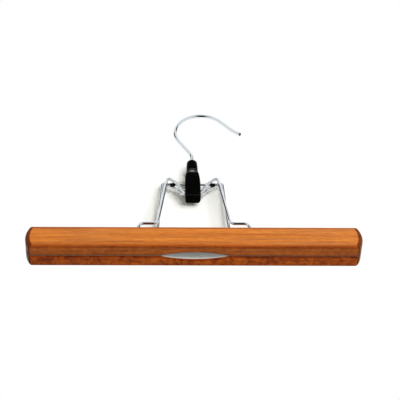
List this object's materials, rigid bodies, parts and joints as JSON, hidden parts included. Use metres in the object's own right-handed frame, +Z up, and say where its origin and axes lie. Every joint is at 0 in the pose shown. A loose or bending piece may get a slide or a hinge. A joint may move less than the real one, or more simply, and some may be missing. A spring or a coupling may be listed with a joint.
{
  "type": "trouser hanger",
  "caption": "Trouser hanger: wooden bars with felt faces close like a clamp on chrome wire frames, with a swivelling wire hook above a push cap lock.",
  "frame": {"origin": "the point of the hook's inner bow where a rail bears, straight above the swivel axis", "axes": "+X along the bars towards the hook's open side, +Y from the front bar to the rear bar, +Z up"},
  "size_m": [0.26, 0.022, 0.1669],
  "materials": {
    "chrome_wire": "bright chrome plating on steel wire",
    "plated_steel": "plain plated steel",
    "black_plastic": "glossy black moulding",
    "black_sleeve": "satin black",
    "wood": "clear lacquer over orange brown wood",
    "felt": "white pressed felt"
  },
  "bodies": {
    "hanging_hook": {"hook": "chrome_wire", "hook_washer": "plated_steel"},
    "plunger": {"push_cap": "black_plastic", "stem": "black_plastic", "cross_pin": "plated_steel", "pin_sleeves": "black_sleeve"},
    "lock": {"lock_body": "black_plastic", "lock_plug": "black_plastic"},
    "front_jaw": {"front_frame": "chrome_wire", "front_bar": "wood", "front_felt": "felt"},
    "rear_jaw": {"rear_frame": "chrome_wire", "rear_bar": "wood", "rear_felt": "felt"}
  },
  "joints": [
    {"name": "swivel", "type": "hinge", "parent": "hanging_hook", "child": "plunger", "pos_m": [0, 0, -0.0626], "axis": [0, 0, 1], "continuous": true},
    {"name": "lock_slide", "type": "slide", "parent": "plunger", "child": "lock", "axis": [0, 0, 1], "range_m": [0, 0.0028]},
    {"name": "front_jaw_turn", "type": "hinge", "parent": "lock", "child": "front_jaw", "pos_m": [0, -0.00175, -0.0904], "axis": [1, 0, 0], "range_deg": [-4, 0]},
    {"name": "rear_jaw_turn", "type": "hinge", "parent": "lock", "child": "rear_jaw", "pos_m": [0, 0.00175, -0.0904], "axis": [1, 0, 0], "range_deg": [0, 4]}
  ],
  "couplings": [
    {"joint": "front_jaw_turn", "follows": "lock_slide", "rad_per_m": -24.93},
    {"joint": "rear_jaw_turn", "follows": "lock_slide", "rad_per_m": 24.93}
  ]
}
